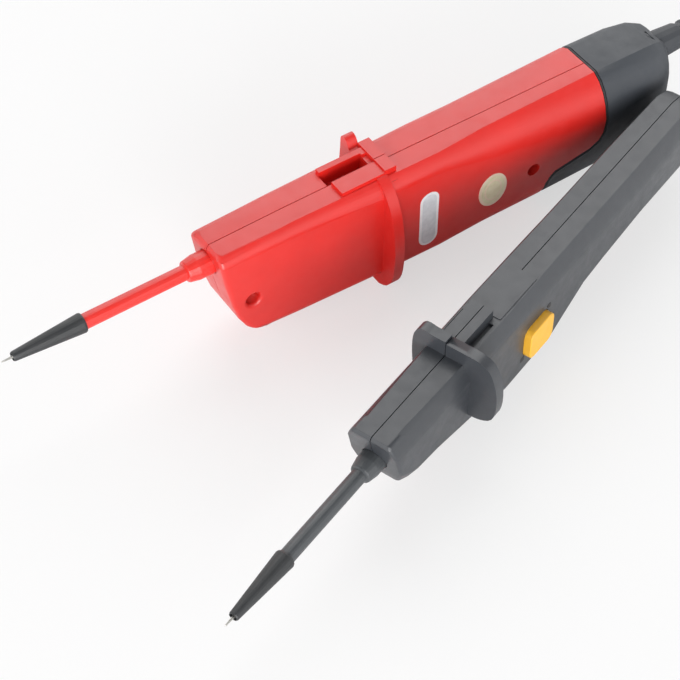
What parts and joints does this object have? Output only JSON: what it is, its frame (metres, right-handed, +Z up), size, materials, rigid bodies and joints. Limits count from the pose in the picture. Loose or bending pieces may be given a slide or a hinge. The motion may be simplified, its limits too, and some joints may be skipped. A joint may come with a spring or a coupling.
{
  "type": "two-pole voltage and circuit test light",
  "caption": "Hand-held two-pole circuit tester: red display unit and dark grey push-button probe joined by a black cord, with capped needle tips.",
  "frame": {"origin": "centre of the main unit's guard where its flat bottom rests on the surface", "axes": "-X along the main unit towards its needle, +Z up off the surface, -Y towards the remote probe"},
  "size_m": [0.4563, 0.1419, 0.0538],
  "materials": {
    "red_shell": "satin moulded plastic",
    "dark_grey_shell": "satin moulded plastic",
    "tip_cap_black": "fine matt",
    "black_rubber": "matt",
    "cord_jacket": "satin jacket",
    "plated_steel": "plated",
    "yellow_button": "satin",
    "clear_lens": "clear",
    "display_glass": "satin",
    "led_body": "gloss",
    "circuit_board": "solder mask",
    "cell_wrap": "gloss",
    "ceramic_white": "matt ceramic"
  },
  "bodies": {
    "tester": {"cord_hank": "cord_jacket", "cord_main_run": "cord_jacket", "cord_remote_run": "cord_jacket", "cord_tie": "black_rubber", "main_back_shell": "red_shell", "main_front_shell": "red_shell", "main_end_cap": "dark_grey_shell", "main_cap_gasket": "black_rubber", "main_probe_sleeve": "red_shell", "main_probe_pin": "plated_steel", "main_strain_relief": "dark_grey_shell", "main_circuit_board": "circuit_board", "main_led_row": "led_body", "main_led_lens": "clear_lens", "main_lcd_module": "display_glass", "main_display_lens": "clear_lens", "main_buzzer": "black_rubber", "main_cell_1": "cell_wrap", "main_cell_2": "cell_wrap", "main_cell_spring_plate": "plated_steel", "main_cell_bridge": "plated_steel", "main_button_switch": "black_rubber", "main_screw_1": "plated_steel", "main_screw_2": "plated_steel", "remote_button_shell": "dark_grey_shell", "remote_back_shell": "dark_grey_shell", "remote_probe_sleeve": "dark_grey_shell", "remote_probe_pin": "plated_steel", "remote_strain_relief": "dark_grey_shell", "remote_button_switch": "black_rubber", "remote_circuit_board": "circuit_board", "remote_load_resistor": "ceramic_white", "remote_screw_1": "plated_steel", "remote_screw_2": "plated_steel"},
    "main_cap": {"main_tip_cap": "tip_cap_black"},
    "remote_cap": {"remote_tip_cap": "tip_cap_black"},
    "load_button": {"main_load_button": "yellow_button"},
    "push_button": {"remote_push_button": "yellow_button"}
  },
  "joints": [
    {"name": "main_cap_pull", "type": "slide", "parent": "tester", "child": "main_cap", "axis": [-1, 0, 0], "range_m": [0, 0.034]},
    {"name": "remote_cap_pull", "type": "slide", "parent": "tester", "child": "remote_cap", "axis": [-0.9409, -0.3387, 0], "range_m": [0, 0.034]},
    {"name": "load_button_press", "type": "slide", "parent": "tester", "child": "load_button", "axis": [0, -1, 0], "range_m": [0, 0.0015], "stiffness_N_per_m": 800, "springref_m": -0.0008},
    {"name": "push_button_press", "type": "slide", "parent": "tester", "child": "push_button", "axis": [-0.3387, 0.9409, 0], "range_m": [0, 0.0015], "stiffness_N_per_m": 800, "springref_m": -0.0008}
  ]
}
